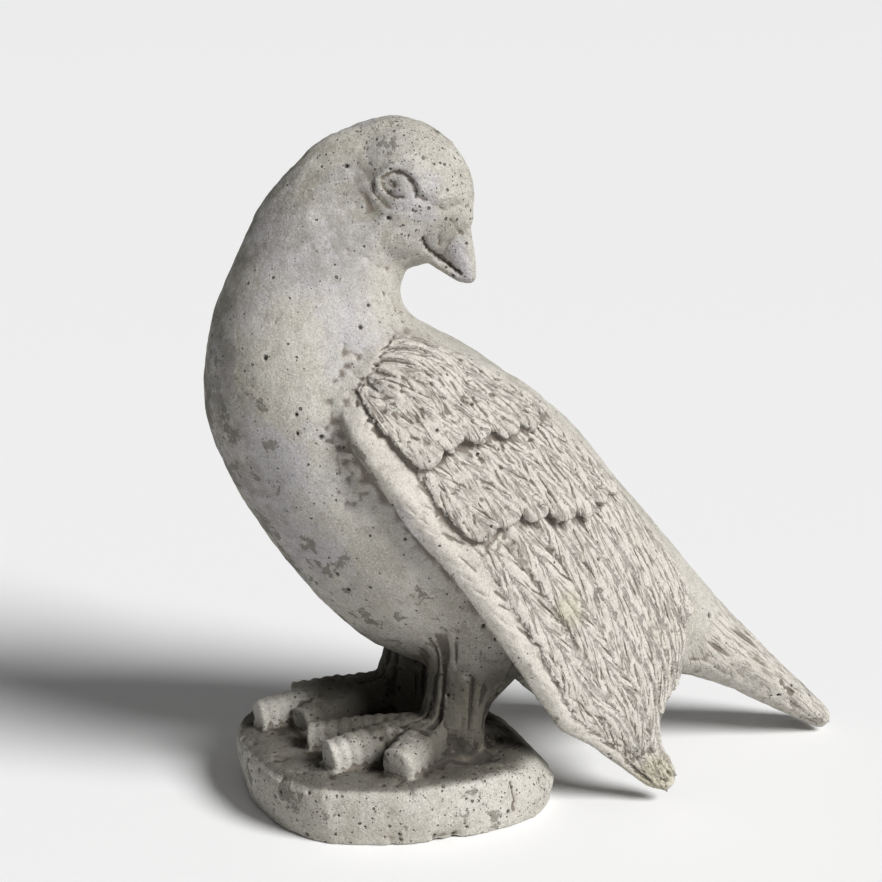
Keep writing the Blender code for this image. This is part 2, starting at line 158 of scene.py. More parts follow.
figurine = skin_of(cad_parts["pigeon_figurine"], "cast_pigeon")
points = relaxed(figurine.data, points_of(figurine.data), SKIN_RELAXING)
move_points(figurine.data, points)
normals = normals_of(figurine.data)
skin_tree = KDTree(len(points))
for number, spot in enumerate(points):
    skin_tree.insert(spot, number)
skin_tree.balance()
dirt = np.zeros(len(points))
streaks = np.zeros(len(points))
streak_way = np.zeros((len(points), 3))

# The face. The modeller cut the lids, the brow, the mouth and the folds of the cheek into the wet clay of
# the head with a pointed tool, alike on both sides. Each cut is a line of places on the bird's left side.
HEAD_TURN = math.radians(-20)
ASIDE = np.array((-math.sin(HEAD_TURN), math.cos(HEAD_TURN), 0))
LINE_STEP = 0.0004
LINE_REACH = 2.5
LINE_UNEVENNESS = 0.45

# Width and depth in millimetres (a ridge has a depth below 0), dirt from 0 to 1, and the line's places.
FACE_LINES = (
    # lower lid, a ridge
    (1.0, -0.7, 0.0, (
        (-5.2, -8.2, 91.5), (-5.1, -8.7, 90.4), (-4.2, -8.9, 89.2), (-2.9, -9.3, 88.2), (-1.2, -9.8, 88.0),
    )),
    # edge of the eyeball, below
    (0.5, 0.5, 0.5, (
        (-4.6, -8.5, 91.3), (-4.3, -8.8, 90.3), (-3.6, -9.1, 89.4), (-2.6, -9.5, 88.8), (-1.6, -9.9, 88.8),
    )),
    # fold under the lower lid
    (0.7, 0.5, 0.4, (
        (-5.9, -8.0, 91.0), (-5.7, -8.3, 89.6), (-4.6, -8.8, 88.2), (-3.2, -9.3, 87.2), (-1.4, -9.6, 86.9),
    )),
    # edge of the upper lid
    (0.8, 0.9, 0.7, (
        (-4.5, -8.8, 91.8), (-3.6, -9.1, 92.4), (-2.5, -9.3, 92.7), (-1.2, -9.8, 92.3), (-0.2, -10.2, 91.2),
    )),
    # corner of the eye
    (1.0, 0.9, 0.4, (
        (-0.2, -10.2, 91.2), (0.4, -10.6, 89.4), (1.6, -10.4, 88.3),
    )),
    # drilled pit before the eye
    (1.4, 2.6, 1.0, (
        (0.3, -10.5, 89.6), (0.6, -10.6, 89.0),
    )),
    # pupil
    (1.5, 1.5, 0.9, (
        (-3.2, -9.6, 90.9), (-3.0, -9.7, 90.7),
    )),
    # fold from the eye to the beak
    (1.5, 0.8, 0.25, (
        (1.0, -10.5, 88.7), (3.7, -10.2, 87.5), (5.8, -9.6, 86.5), (6.9, -9.4, 87.2), (10.3, -6.7, 86.8),
    )),
    # brow, a ridge
    (2.8, -0.9, 0.0, (
        (-0.3, -9.8, 93.6), (1.4, -9.9, 91.5), (2.4, -10.0, 90.0), (4.5, -9.6, 88.8), (7.0, -9.0, 88.6),
    )),
    # ring behind the eye, a ridge
    (1.5, -0.8, 0.0, (
        (-7.5, -6.7, 91.7), (-6.7, -7.4, 90.0), (-5.0, -8.5, 88.1), (-4.2, -8.8, 86.8), (-2.0, -9.5, 86.3),
    )),
    # fold behind that ring
    (1.5, 0.7, 0.35, (
        (-7.0, -7.4, 90.0), (-6.6, -8.0, 88.5), (-6.5, -8.3, 86.9),
    )),
    # mouth
    (0.7, 1.6, 1.0, (
        (2.3, -8.3, 82.2), (3.6, -6.8, 80.4), (6.3, -4.3, 78.6), (8.1, -4.6, 77.1), (9.5, -4.9, 75.8),
    )),
    # second cut of the mouth
    (0.6, 0.6, 0.7, (
        (2.1, -8.1, 81.7), (3.8, -6.5, 79.8), (6.7, -4.4, 77.9),
    )),
    # edge of the cere, at the mouth
    (0.6, 0.5, 0.5, (
        (4.7, -8.7, 83.6), (5.1, -7.6, 82.2), (5.6, -6.5, 80.7),
    )),
    # cut near the beak's tip
    (0.5, 0.35, 0.4, (
        (9.2, -6.0, 80.4), (10.4, -5.8, 78.8), (11.1, -5.5, 77.3),
    )),
    # edge of the cere, on top
    (0.6, 0.6, 0.5, (
        (6.5, -8.8, 84.9), (8.1, -7.3, 83.5), (9.6, -5.8, 82.1),
    )),
    # crease of the cheek
    (1.3, 0.5, 0.15, (
        (-11.1, -9.7, 81.8), (-8.9, -9.7, 80.9), (-6.8, -9.4, 79.8), (-5.5, -9.1, 78.7), (-3.5, -8.0, 77.9),
    )),
)


def smooth_rows(rows, t):
    """The rows read at each t, from 0 at the first row to 1 at the last, on a smooth curve through all."""
    rows = np.array(rows, float)
    span = np.clip(t, 0, 1) * (len(rows) - 1)
    i = np.minimum(span.astype(int), len(rows) - 2)
    f = (span - i)[:, None]
    before, here, after, beyond = (rows[np.clip(i + k, 0, len(rows) - 1)] for k in (-1, 0, 1, 2))
    return (
        before * (-f + 2 * f**2 - f**3) / 2
        + here * (2 - 5 * f**2 + 3 * f**3) / 2
        + after * (f + 4 * f**2 - 3 * f**3) / 2
        + beyond * (-(f**2) + f**3) / 2
    )


def carve(line, width, depth, soiling):
    """Sinks a groove along a line on the skin, or raises a ridge, and soils it."""
    stops = np.array(line)
    length = np.linalg.norm(np.diff(stops, axis=0), axis=1).sum()
    dense = smooth_rows(stops, np.linspace(0, 1, max(2, int(length / LINE_STEP))))
    dense = np.array([skin_tree.find(stop)[0] for stop in dense])
    reach = LINE_REACH * width
    low = dense.min(0) - reach
    high = dense.max(0) + reach
    chosen = np.flatnonzero(np.all((points > low) & (points < high), axis=1))
    away = np.full(len(chosen), reach)
    for stop in dense:
        away = np.minimum(away, np.linalg.norm(points[chosen] - stop, axis=1))
    closeness = np.exp(-((away / width) ** 2))
    uneven = 1 + LINE_UNEVENNESS * lumps(points[chosen], (420, 420, 420), 61)
    points[chosen] -= normals[chosen] * (depth * closeness * uneven)[:, None]
    dirt[chosen] = np.maximum(dirt[chosen], soiling * closeness)


neck = place(0, 0, 0)
for width, depth, soiling, line in FACE_LINES:
    left_side = [place(*spot) for spot in line]
    right_side = [spot - 2 * np.dot(spot - neck, ASIDE) * ASIDE for spot in left_side]
    carve(left_side, width * MM, depth * MM, soiling)
    carve(right_side, width * MM, depth * MM, soiling)

# The wings. Each was modelled as a smooth rolled edge with rows of feathers behind it, and every feather
# was scored with a stiff tool: a shaft down its middle and long barbs that slant out to its edges. The
# scoring is worked out on the wing's own sheet, between its leading and its trailing edge.
WING_LEAD = (
    (-13.8, -16.0, 60.6),
    (-13.8, -19.6, 54.4),
    (-10.3, -21.6, 48.3),
    (-5.2, -22.4, 40.1),
    (1.3, -22.6, 31.9),
    (8.0, -22.6, 22.2),
    (15.2, -22.4, 11.9),
    (19.6, -22.2, 5.2),
    (25.6, -22.0, 1.2),
    (31.6, -21.8, -3.2),
    (37.2, -21.4, -7.6),
)
WING_TRAIL = (
    (-6.4, -12.2, 66.0),
    (1.6, -8.0, 66.6),
    (9.5, -6.5, 62.9),
    (19.4, -6.0, 57.3),
    (27.2, -6.0, 50.4),
    (34.1, -6.5, 41.8),
    (40.5, -7.8, 32.8),
    (45.3, -9.5, 25.0),
    (46.8, -12.4, 17.6),
    (41.8, -17.8, 3.2),
    (44.0, -20.4, -5.6),
)
WING_BULGE = ((1.0,), (3.6,), (5.0,), (5.4,), (5.4,), (5.0,), (4.2,), (3.2,), (2.2,), (1.4,), (0.8,))
FEATHER_RISE = 0.0022
TIP_STAGGER = 0.012

# Rows of feathers, as on the solid: how many, the middle of the first and the last as shares of the way
# across, where they start, where the first and the last tip end, half width across, and lift.
FEATHER_ROWS = (
    (3, 0.20, 0.50, 0.40, 0.990, 0.975, 0.105, 0.5),
    (3, 0.61, 0.83, 0.36, 0.868, 0.866, 0.100, 0.7),
    (2, 0.90, 0.97, 0.34, 0.785, 0.800, 0.075, 0.9),
    (7, 0.23, 0.93, 0.20, 0.385, 0.525, 0.080, 1.5),
    (6, 0.26, 0.90, 0.04, 0.245, 0.345, 0.085, 2.1),
)
SHEET_STEPS = (240, 100)
MAP_STEPS = (1100, 420)
BARB_ANGLE = math.radians(13)
BARB_SPACING = 0.0036
BARB_WIDTH = 0.00046
BARB_LENGTH = 0.0120
BARB_DEPTH = 0.0008
SHAFT_WIDTH = 0.0005
SHAFT_DEPTH = 0.0004
NICKS = 240
RIM_CUTS = 90
NICK_END = 0.42
STEP_BLUR = 0.0035
MOST_CARVING = 0.0011
CROWN_SHARE = 0.35
CRUMB_HEIGHT = 0.0004
SCORING_DEPTH = 0.0009


def rails(u):
    """The wing's leading and trailing edge at each u, in metres."""
    return (smooth_rows(rows, u) * UNIT + place(0, 0, 0) for rows in (WING_LEAD, WING_TRAIL))


def wing_sheet(u, v):
    """Points and outward normals of the left wing's sheet on a grid of u by v."""
    lead, trail = rails(u)
    middle = (lead + trail) / 2
    along = np.gradient(middle, axis=0)
    across = trail - lead
    flat = np.cross(across, along)
    flat /= np.linalg.norm(flat, axis=1)[:, None]
    flat *= np.where(flat[:, 1] > 0, -1, 1)[:, None]
    bulge = smooth_rows(WING_BULGE, u) * UNIT
    grid = lead[:, None] + across[:, None] * v[None, :, None]
    grid = grid + (flat * bulge)[:, None] * (4 * v * (1 - v))[None, :, None]
    normal = np.cross(np.gradient(grid, axis=0), np.gradient(grid, axis=1))
    normal /= np.linalg.norm(normal, axis=2)[:, :, None]
    normal *= np.where((normal * flat[:, None]).sum(2) < 0, -1, 1)[:, :, None]
    return grid, normal


def blurred(field, reach):
    """The field averaged over a square window, twice over, along both of its directions."""
    for axis in (0, 1, 0, 1):
        count = max(1, int(reach[axis]))
        pad = [(0, 0), (0, 0)]
        pad[axis] = (count + 1, count)
        total = np.cumsum(np.pad(field, pad, mode="edge"), axis=axis)
        size = field.shape[axis]
        upper = np.take(total, np.arange(2 * count + 1, 2 * count + 1 + size), axis=axis)
        lower = np.take(total, np.arange(size), axis=axis)
        field = (upper - lower) / (2 * count + 1)
    return field


class WingGrid:
    """The grid over one wing's sheet, with its measures in metres."""

    def __init__(self):
        self.u = np.linspace(0, 1, MAP_STEPS[0])
        self.v = np.linspace(0, 1, MAP_STEPS[1])
        lead, trail = rails(self.u)
        self.step = np.linalg.norm(np.gradient((lead + trail) / 2, axis=0), axis=1)
        self.run = np.cumsum(self.step)
        self.span = np.linalg.norm(trail - lead, axis=1)


def score(cut, grid, u, v, angle, length, width, depth):
    """Adds one lens-shaped cut to the depths on the grid, at an angle to the wing's length."""
    i = int(np.clip(u, 0, 1) * (MAP_STEPS[0] - 1))
    j = int(np.clip(v, 0, 1) * (MAP_STEPS[1] - 1))
    rows = int(0.7 * length / grid.step[i]) + 2
    columns = int((0.6 * length * abs(math.sin(angle)) + 2.5 * width) / grid.span[i] * MAP_STEPS[1]) + 2
    a, b = max(0, i - rows), min(MAP_STEPS[0], i + rows)
    c, d = max(0, j - columns), min(MAP_STEPS[1], j + columns)
    x = (grid.run[a:b] - grid.run[i])[:, None]
    y = (grid.v[c:d] - v)[None, :] * grid.span[i]
    s = (x * math.cos(angle) + y * math.sin(angle)) / (length / 2)
    t = (y * math.cos(angle) - x * math.sin(angle)) / width
    shape = depth * np.sqrt(np.clip(1 - s * s, 0, 1)) * np.exp(-t * t)
    cut[a:b, c:d] = np.maximum(cut[a:b, c:d], shape)


def scored_barbs(grid, chance, middle, root_u, tip, fineness):
    """The barbs cut into both sides of one feather, as depths on the grid."""
    cut = np.zeros(MAP_STEPS)
    length = np.interp(tip, grid.u, grid.run) - np.interp(root_u, grid.u, grid.run)
    for side in (-1, 1):
        along = 0.0
        while along < length:
            along += BARB_SPACING / fineness * chance.uniform(0.55, 1.4)
            u = root_u + (tip - root_u) * along / length
            angle = side * BARB_ANGLE * chance.uniform(0.2, 1.9)
            long = BARB_LENGTH * chance.uniform(0.5, 1.25)
            out = abs(math.sin(angle)) * long / 2 + chance.uniform(0.0004, 0.0060)
            v = middle + side * out / np.interp(u, grid.u, grid.span)
            width = BARB_WIDTH * chance.uniform(0.6, 1.2)
            score(cut, grid, u, v, angle, long, width, BARB_DEPTH * chance.uniform(0.25, 1.3))
    return cut


def scored_nicks(grid, chance, fineness):
    """The short nicks over the shoulder and the cuts across the rolled edge, as depths on the grid."""
    cut = np.zeros(MAP_STEPS)
    for _ in range(int(NICKS * fineness)):
        u = chance.uniform(0.01, NICK_END)
        v = chance.uniform(0.13, 0.9)
        angle = chance.normal(0.35 * (0.5 - v), 0.5)
        long = chance.uniform(0.0018, 0.0055)
        width = chance.uniform(0.0003, 0.0008)
        score(cut, grid, u, v, angle, long, width, chance.uniform(0.0002, 0.0009))
    for _ in range(int(RIM_CUTS * fineness)):
        u = chance.uniform(0.25, 0.95)
        v = chance.uniform(0.03, 0.16)
        long = chance.uniform(0.005, 0.012)
        angle = chance.uniform(0.1, 0.4)
        width = chance.uniform(0.0003, 0.0006)
        score(cut, grid, u, v, angle, long, width, chance.uniform(0.0002, 0.0007))
    return cut


def feather_map(seed, fineness):
    """The carving on the wing's sheet: its height over the solid, its cuts, and each feather's directions."""
    chance = np.random.default_rng(seed)
    grid = WingGrid()
    run = grid.run[:, None]
    span = grid.span[:, None]
    grid_u = grid.u[:, None] + 0 * grid.v
    grid_v = grid.v[None, :] + 0 * run
    height = np.zeros(MAP_STEPS)
    cuts = np.zeros(MAP_STEPS)
    way = np.zeros((*MAP_STEPS, 3))
    ragged = np.random.default_rng(seed + 5).uniform(-1, 1, (40, 40))
    number = 0
    for count, first_v, last_v, root_u, first_tip, last_tip, half, lift in FEATHER_ROWS:
        for k in range(count):
            number += 1
            share = k / (count - 1)
            middle = first_v + (last_v - first_v) * share
            tip = first_tip + (last_tip - first_tip) * share + TIP_STAGGER * math.sin(5 * k)
            rough = read_map(ragged, np.mod(grid_u * 6 + 0.17 * k, 1), grid_v)
            s = (grid.u[:, None] - root_u) / (tip - root_u) + 0.03 * rough
            body = np.clip(s, 0, 1)
            grown = 1 - (1 - body) ** (1 / 1.3)
            wide = half * np.minimum(1, 0.45 + 1.4 * grown) * np.sqrt(np.clip(1 - grown**7, 0, 1)) + 0.004
            off = grid.v[None, :] - middle
            a = off / wide + 0.1 * rough
            aside = off * span
            cut = scored_barbs(grid, chance, middle, root_u, tip, fineness)
            shaft = SHAFT_DEPTH * np.exp(-(((np.abs(aside) - SHAFT_WIDTH) / SHAFT_WIDTH) ** 2))
            cut = np.maximum(cut, shaft)
            crumbs = CRUMB_HEIGHT * rough * ramp(body, 0.75, 0.95)
            rise = lift * (0.25 + 0.75 * grown)
            top = FEATHER_RISE * (rise + CROWN_SHARE * (1 - a * a)) - cut + crumbs
            inside = (s > 0) & (s < 1) & (np.abs(a) < 1)
            height = np.where(inside, np.maximum(height, top), height)
            cuts = np.where(inside, cut, cuts)
            turn = np.sign(aside) * BARB_ANGLE
            way[..., 0] = np.where(inside, run * np.cos(turn) + aside * np.sin(turn), way[..., 0])
            way[..., 1] = np.where(inside, aside * np.cos(turn) - run * np.sin(turn), way[..., 1])
            way[..., 2] = np.where(inside, 0.05 * number, way[..., 2])
    nicks = scored_nicks(grid, chance, fineness)
    cuts = np.maximum(cuts, nicks)
    cell_u = STEP_BLUR / float(grid.step.mean())
    cell_v = STEP_BLUR / float(grid.span.mean() / MAP_STEPS[1])
    carved = height - nicks - blurred(height, (cell_u, cell_v))
    return np.clip(carved, -MOST_CARVING, MOST_CARVING), cuts, way


def read_map(field, u, v):
    """The field's value at each u and v, between its grid points."""
    x = np.clip(u, 0, 1) * (field.shape[0] - 1)
    y = np.clip(v, 0, 1) * (field.shape[1] - 1)
    i = np.minimum(x.astype(int), field.shape[0] - 2)
    j = np.minimum(y.astype(int), field.shape[1] - 2)
    f = x - i
    g = y - j
    near = field[i, j] * (1 - g) + field[i, j + 1] * g
    far = field[i + 1, j] * (1 - g) + field[i + 1, j + 1] * g
    return near * (1 - f) + far * f


def on_wing(points, hand):
    """For each point the nearest u and v on one wing's sheet, and how far it stands out from it."""
    u = np.linspace(0, 1, SHEET_STEPS[0])
    v = np.linspace(0, 1, SHEET_STEPS[1])
    grid, normal = wing_sheet(u, v)
    mirror = np.array((1, -hand, 1))
    grid = grid * mirror
    normal = normal * mirror
    tangent_u = np.gradient(grid, axis=0).reshape(-1, 3)
    tangent_v = np.gradient(grid, axis=1).reshape(-1, 3)
    flat = grid.reshape(-1, 3)
    tree = KDTree(len(flat))
    for k, point in enumerate(flat):
        tree.insert(point, k)
    tree.balance()
    nearest = np.array([tree.find(point)[1] for point in points])
    off = points - flat[nearest]
    out = (off * normal.reshape(-1, 3)[nearest]).sum(1)
    found = []
    for tangent, steps, start in (
        (tangent_u, SHEET_STEPS[0], nearest // SHEET_STEPS[1]),
        (tangent_v, SHEET_STEPS[1], nearest % SHEET_STEPS[1]),
    ):
        way = tangent[nearest]
        found.append((start + (off * way).sum(1) / (way * way).sum(1)) / (steps - 1))
    return found[0], found[1], out, normal.reshape(-1, 3)[nearest], np.linalg.norm(off, axis=1)


for hand, seed, fineness in ((-1, 11, 1.0), (1, 12, 0.7)):
    near_wing = np.flatnonzero((points[:, 1] * hand > 0.008) & (points[:, 2] < 0.2))
    u, v, out, outward, away = on_wing(points[near_wing], hand)
    facing = (normals[near_wing] * outward).sum(1)
    mask = ramp(facing, 0.25, 0.6) * ramp(away, 0.017, 0.012) * ramp(out, -0.011, -0.007)
    mask = mask * ramp(u, -0.01, 0.03) * ramp(v, 0.02, 0.06)
    mask = mask * ramp(v - 0.12 * ramp(u, 0.3, 0.7), 0.93, 0.84)
    carved, cuts, way = feather_map(seed, fineness)
    uneven = 0.0006 * lumps(points[near_wing], (110, 110, 110), seed) * ramp(u, 0.65, 0.3)
    depth = read_map(carved, u, v) + uneven
    points[near_wing] += normals[near_wing] * (depth * mask)[:, None]
    cut_share = np.clip(read_map(cuts, u, v) / SCORING_DEPTH, 0, 1)
    dirt[near_wing] = np.maximum(dirt[near_wing], cut_share * mask)
    streaks[near_wing] = np.maximum(streaks[near_wing], mask)
    cell = (
        np.round(np.clip(u, 0, 1) * (MAP_STEPS[0] - 1)).astype(int),
        np.round(np.clip(v, 0, 1) * (MAP_STEPS[1] - 1)).astype(int),
    )
    streak_way[near_wing] = np.where(mask[:, None] > 0, way[cell], streak_way[near_wing])

# The shoulders stand out from the breast. The modeller pressed a soft valley into the clay before each,
# with a thumb, from the top of the shoulder down to the wing's rolled edge.
VALLEY_WIDTH = 0.0065
VALLEY_DEPTH = 0.0016
VALLEY = (
    (-11.4, -14.8, 66.7),
    (-14.4, -16.3, 62.1),
    (-15.8, -17.1, 56.3),
    (-14.6, -17.4, 49.4),
    (-12.2, -17.7, 44.6),
)
for hand in (-1, 1):
    carve([place(x, -hand * y, z) for x, y, z in VALLEY], VALLEY_WIDTH, VALLEY_DEPTH, 0.0)

# The tail is part of the same cast. Its flat feathers are only hinted at, by lines drawn along its length
# with the same stiff tool, and one deep gouge is left near its end.
TAIL_WAY = np.array((0.81, 0.0, -0.59))
TAIL_OVER = np.array((0.59, 0.0, 0.81))
tail = ramp(points @ TAIL_WAY, 0.062, 0.075) * (1 - streaks)
tail = tail * ramp(points[:, 0], 0.100, 0.112)
tail_grain = np.stack([points @ TAIL_WAY, points @ TAIL_OVER, points[:, 1]], 1)
lines = lumps(tail_grain, (45, 420, 420), 21)
points -= normals * (0.0006 * tail * ramp(lines, 0.05, 0.6))[:, None]
dirt = np.maximum(dirt, 0.6 * tail * ramp(lines, 0.2, 0.7))
tail_way = np.stack([tail_grain[:, 0], tail_grain[:, 1] + points[:, 1], 0 * tail], 1)
streak_way = np.where(tail[:, None] > 0.01, tail_way, streak_way)
streaks = np.maximum(streaks, 0.7 * tail)
carve([place(68.4, -5.3, 1.6), place(70.6, -5.2, -0.6)], 0.0019, 0.0014, 0.8)

# The legs and feet. The legs are wrinkled from top to bottom and the toes are ringed, with dirt gathered in
# the wrinkles and the rings. The crevice beside each foot is soiled near black, as painted shadow of the gap
# under the leg.
LEG_X = 6.8
LEG_Y = 10.9
WRINKLE_DEPTH = 0.0009
RING_SHARPENING = 1.3
for hand in (-1, 1):
    foot = place(LEG_X, hand * LEG_Y, 0)
    arm = points - foot
    around = np.arctan2(arm[:, 1], arm[:, 0])
    wrap = np.stack([np.cos(around), np.sin(around), arm[:, 2]], 1)
    wrinkle = lumps(wrap, (7, 7, 60), 31)
    leg = ramp(np.hypot(arm[:, 0], arm[:, 1]), 0.030, 0.021)
    leg = leg * ramp(arm[:, 2], 0.004, 0.012) * ramp(arm[:, 2], 0.052, 0.038)
    leg = leg * ramp(points[:, 1] * hand, 0.004, 0.010) * (1 - streaks)
    points -= normals * (WRINKLE_DEPTH * leg * ramp(wrinkle, 0.0, 0.6))[:, None]
    dirt = np.maximum(dirt, leg * (0.25 + 0.5 * ramp(wrinkle, 0.1, 0.6)))
    # Its full soiling is painted shadow of the gap under the leg.
    crevice = [place(5.5, hand * 16.0, 2.2), place(8.0, hand * 16.2, 1.2), place(10.4, hand * 16.0, 0.6)]
    carve(crevice, 0.0050, 0.0022, 1.0)
on_toes = ramp(points[:, 2], 0.0225, 0.0245) * ramp(points[:, 2], 0.043, 0.038)
on_toes = on_toes * ramp(points[:, 0], 0.018, 0.008)
sharper = points - relaxed(figurine.data, points, 10)
points += sharper * (RING_SHARPENING * on_toes)[:, None]
hollow_toes = -(sharper * normals).sum(1)
dirt = np.maximum(dirt, 0.9 * on_toes * ramp(hollow_toes, 0.00002, 0.00025))

# The base. Its wall was cut by hand in short flats, its rim and its foot are worn and chipped, and one
# crack runs down it.
RIM_CHIP_DEPTH = 0.0014
FOOT_CHIP_DEPTH = 0.0010
WALL_UNEVENNESS = 0.0003
on_base = ramp(points[:, 2], BASE_THICKNESS + 0.003, BASE_THICKNESS)
edge_out = np.hypot(points[:, 0] / BASE_HALF, points[:, 1] / BASE_HALF)
rim = np.exp(-(((points[:, 2] - 0.019) / 0.0035) ** 2)) * ramp(edge_out, 0.72, 0.84) * on_base
chips = ramp(lumps(points, (120, 120, 170), 41) + 0.5 * lumps(points, (300, 300, 300), 42), 0.25, 0.8)
points -= normals * (RIM_CHIP_DEPTH * rim * chips)[:, None]
foot_chips = np.exp(-(((points[:, 2] - 0.002) / 0.003) ** 2)) * ramp(edge_out, 0.7, 0.85)
foot_chips = foot_chips * ramp(lumps(points, (140, 140, 140), 43), 0.3, 0.8)
points -= normals * (FOOT_CHIP_DEPTH * foot_chips)[:, None]
points -= normals * (WALL_UNEVENNESS * on_base * lumps(points, (160, 160, 160), 44))[:, None]
carve([place(11.5, -22.3, -2.4), place(11.9, -22.3, -4.5), place(11.7, -22.2, -6.6)], 0.0009, 0.0009, 0.8)
carve([place(-1.8, -24.6, -8.8), place(1.6, -24.4, -8.9)], 0.0022, 0.0014, 0.8)
carve([place(-23.8, -9.9, -1.5), place(-23.4, -10.2, -8.0)], 0.0020, -0.0004, 0.1)
carve([place(-18.2, -19.2, -1.0), place(-16.8, -19.9, -8.6)], 0.0020, -0.0004, 0.1)

# The whole casting is a little uneven, as hand-worked clay is.
uneven = 0.00035 * lumps(points, (55, 55, 55), 51) + 0.00022 * lumps(points, (260, 260, 260), 52)
uneven += 0.00018 * lumps(points, (520, 520, 520), 53) * (0.5 + 0.5 * ramp(points[:, 2], 0.2, 0.23))
points += normals * uneven[:, None]
points[:, 2] = np.maximum(points[:, 2], 0)
move_points(figurine.data, points)

# Weathering and painted shade. Cement keeps the air bubbles of its pour as open pits, most on the head, the
# shoulders and the base, and rain has left dirt in every groove. The pits are sunk into the skin here. Shares
# are kept here too
# for shade painted into the colour: on the side facing away from the key, on the belly, under the body and on
# the base.


def add_share(mesh, name, values):
    """Keeps one number for each of the mesh's points under a name."""
    layer = mesh.attributes.new(name, "FLOAT", "POINT")
    layer.data.foreach_set("value", values.astype(np.float32))


def near(centre, reach, soft):
    """1 within reach of a place and 0 beyond a further soft distance, for each of the skin's points."""
    away = np.linalg.norm(points - place(*centre), axis=1)
    return ramp(away, (reach + soft) * UNIT, reach * UNIT)


head = near((1.0, 0, 90), 9, 8)
shoulders = np.maximum(near((-2, -16, 60), 6, 9), near((-2, 16, 60), 6, 9))
low = ramp(points[:, 2], 0.030, 0.022)
under = ramp(points[:, 2], 0.075, 0.050) * ramp(points[:, 2], 0.020, 0.024) * (1 - streaks)
under = under * ramp(np.hypot(points[:, 0] - 0.020, points[:, 1]), 0.062, 0.045)
pitting = np.clip(0.13 + 0.5 * head + 0.2 * shoulders + 0.4 * low + 0.5 * under, 0, 1)
pitting = pitting * (1 - 0.75 * streaks)
breast = ramp(normals[:, 0] + 0.35 * normals[:, 1], 0.25, -0.35)
breast = breast * ramp(points[:, 2], 0.075, 0.095) * (1 - streaks)
# Painted shade: the lower side that faces forward, away from the key, and the belly's underside get more of
# the flat dark patches, which there stand both for real stains and for the shade. The spots on the crown and
# the base are stains.
front_side_shade = ramp(-normals[:, 0] - 0.3 * normals[:, 2], 0.45, 0.8) * ramp(points[:, 2], 0.190, 0.160)
stains_and_shade = np.maximum.reduce([
    0.75 * front_side_shade * (1 - low),
    0.65 * ramp(-normals[:, 2], 0.1, 0.5) * ramp(points[:, 2], 0.11, 0.08) * (1 - low),
    0.9 * near((-0.6, -5.5, 97.6), 3.2, 2.4),
    0.45 * head,
    0.5 * low,
    0.95 * near((-21.5, -15.0, -3.0), 2.5, 3.0),
])
# This share is painted shade on the side that faces forward, away from the key, and on the back of the neck,
# mottled like weathering; round the eye and the mouth it is weathering.
aged_and_shaded = ramp(-normals[:, 0], 0.55, 0.95) * ramp(points[:, 2], 0.06, 0.09) + 0.8 * near((-12, -4, 85), 7, 9)
aged_and_shaded += 0.5 * near((-4, -8, 93), 3, 5) + 0.5 * near((3, -6, 82), 4, 5)
# Under the body and on the base's top the colour is darkened, as damp and as the body's painted shadow.
damp_and_shadow = under + 0.85 * on_base * ramp(normals[:, 2], 0.6, 0.9)
cream = near((36.6, -22.6, -4.4), 2.4, 2.0) + 0.8 * near((21.9, -21.5, 24.6), 1.5, 2.5)
add_share(figurine.data, "aged_and_shaded", np.clip(aged_and_shaded, 0, 1) * (1 - streaks))
add_share(figurine.data, "pitting", pitting)
add_share(figurine.data, "stains_and_shade", np.clip(stains_and_shade, 0, 1))
add_share(figurine.data, "damp_and_shadow", np.clip(damp_and_shadow, 0, 1))
add_share(figurine.data, "cool", breast)
add_share(figurine.data, "dirt", np.clip(dirt, 0, 1))
add_share(figurine.data, "streaks", streaks)
add_share(figurine.data, "cream", np.clip(cream, 0, 1))
way_layer = figurine.data.attributes.new("streak_way", "FLOAT_VECTOR", "POINT")
way_layer.data.foreach_set("vector", streak_way.astype(np.float32).ravel())


def math_node(tree, operation, first, second):
    """The output of a Math node on two inputs, each a socket or a number."""
    node = tree.nodes.new("ShaderNodeMath")
    node.operation = operation
    for socket, value in zip(node.inputs, (first, second)):
        if isinstance(value, (int, float)):
            socket.default_value = value
        else:
            tree.links.new(value, socket)
    return node.outputs[0]


# The sizes of the pits: how many cells to the metre may hold one, the largest radius as a share of a cell,
# the depth in metres, and a seed that moves the whole pattern.
PITS = {"Cells per metre": 240.0, "Largest pit": 0.28, "Depth": 0.0011, "Seed": 0.0}
SMALLEST_PIT = 0.08
PIT_WALL = (1.05, 0.45)


